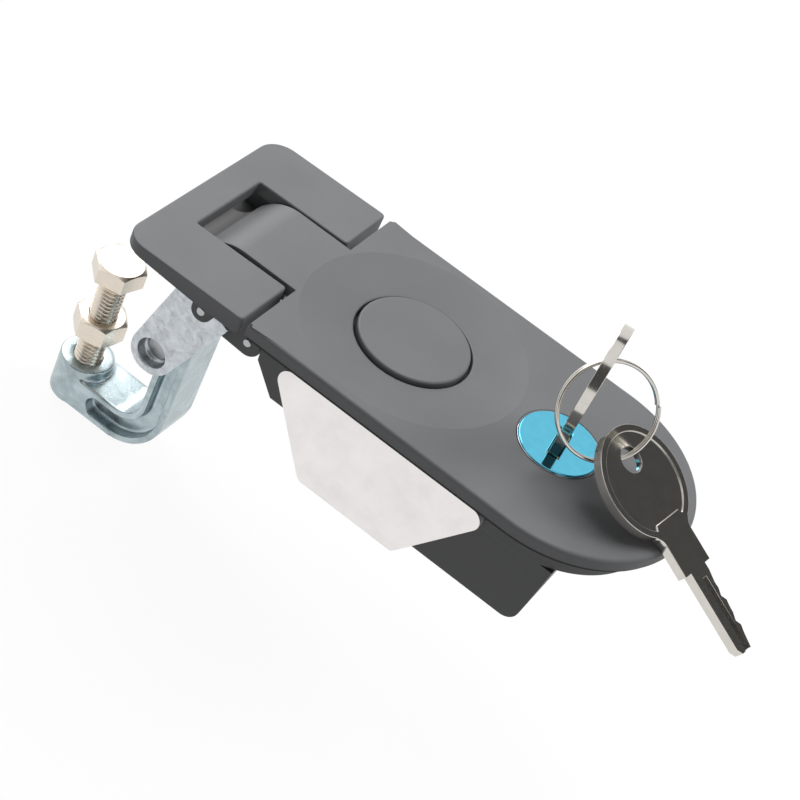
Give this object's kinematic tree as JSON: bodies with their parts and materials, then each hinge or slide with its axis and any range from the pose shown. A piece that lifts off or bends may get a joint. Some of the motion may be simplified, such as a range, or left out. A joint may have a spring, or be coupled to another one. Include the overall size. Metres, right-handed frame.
{
  "type": "pushbutton door lock",
  "caption": "Flush panel lock with a round push button, a lift handle that swings a C-shaped pawl with an adjustable bolt, and a keyed cylinder with keys on a ring.",
  "frame": {"origin": "on the push button's axis, at the outer surface of the panel, which is the underside of the gasket", "axes": "+X along the lock from the handle to the key end, +Z out of the front of the panel, +Y across the lock"},
  "size_m": [0.1494, 0.05, 0.0947],
  "materials": {
    "black_paint": "satin black powder coat on zinc casting",
    "gasket_rubber": "matte rubber",
    "screw_zinc": "zinc plated steel",
    "bracket_zinc": "pale plated sheet steel",
    "pin_steel": "ground steel",
    "spring_steel": "drawn spring wire",
    "cast_zinc": "bright zinc casting",
    "blue_zinc": "blue zinc plated casting",
    "bolt_nickel": "nickel plated steel",
    "lock_chrome": "plated zinc",
    "plug_brass": "machined brass",
    "blue_cap": "mirror blue metal cap",
    "key_nickel": "polished nickel plate"
  },
  "bodies": {
    "base": {"faceplate": "black_paint", "panel_gasket": "gasket_rubber", "rear_housing": "black_paint", "housing_screws": "screw_zinc", "mounting_bracket": "bracket_zinc", "bracket_screws": "screw_zinc", "pawl_carrier": "cast_zinc", "carrier_screws": "screw_zinc", "handle_pin": "pin_steel", "handle_spring": "spring_steel", "pawl_pivot_pin": "pin_steel", "pawl_spring": "spring_steel", "button_spring": "spring_steel", "catch_spring": "spring_steel", "lock_barrel": "lock_chrome", "barrel_clip": "spring_steel"},
    "handle": {"handle": "black_paint", "drive_pin": "pin_steel"},
    "link": {"toggle_link": "pin_steel"},
    "pawl": {"pawl_hook": "blue_zinc", "link_pin": "pin_steel"},
    "bolt": {"grip_bolt": "bolt_nickel"},
    "nut": {"jam_nut": "bolt_nickel"},
    "button": {"push_button": "black_paint"},
    "catch": {"catch_slide": "pin_steel"},
    "plug": {"lock_plug": "plug_brass", "lock_cap": "blue_cap", "lock_cam": "pin_steel", "cam_screw": "screw_zinc", "inserted_key": "key_nickel", "key_ring": "key_nickel", "spare_key": "key_nickel"}
  },
  "joints": [
    {"name": "handle_hinge", "type": "hinge", "parent": "base", "child": "handle", "pos_m": [-0.0324, 0, -0.0034], "axis": [0, 1, 0], "range_deg": [0, 55]},
    {"name": "link_pivot", "type": "hinge", "parent": "handle", "child": "link", "pos_m": [-0.0242, 0, -0.0088], "axis": [0, 1, 0], "range_deg": [-51, 0]},
    {"name": "pawl_pivot", "type": "hinge", "parent": "base", "child": "pawl", "pos_m": [-0.04, 0, -0.0229], "axis": [0, 1, 0], "range_deg": [-44.5, 0]},
    {"name": "bolt_screw", "type": "slide", "parent": "pawl", "child": "bolt", "axis": [0, 0, 1], "range_m": [-0.004, 0.003]},
    {"name": "nut_screw", "type": "slide", "parent": "bolt", "child": "nut", "axis": [0, 0, 1], "range_m": [-0.0025, 0.01]},
    {"name": "button_press", "type": "slide", "parent": "base", "child": "button", "axis": [0, 0, -1], "range_m": [0, 0.0025], "stiffness_N_per_m": 400, "springref_m": -0.003, "deforming": ["button_spring"]},
    {"name": "catch_draw", "type": "slide", "parent": "base", "child": "catch", "axis": [1, 0, 0], "range_m": [0, 0.0025], "deforming": ["catch_spring"]},
    {"name": "key_turn", "type": "hinge", "parent": "base", "child": "plug", "pos_m": [0.0332, 0, 0], "axis": [0, 0, 1], "range_deg": [0, 90]}
  ],
  "couplings": [
    {"joint": "link_pivot", "follows": "handle_hinge", "ratio": -0.92},
    {"joint": "pawl_pivot", "follows": "handle_hinge", "ratio": -0.8},
    {"joint": "catch_draw", "follows": "button_press", "ratio": 1}
  ]
}
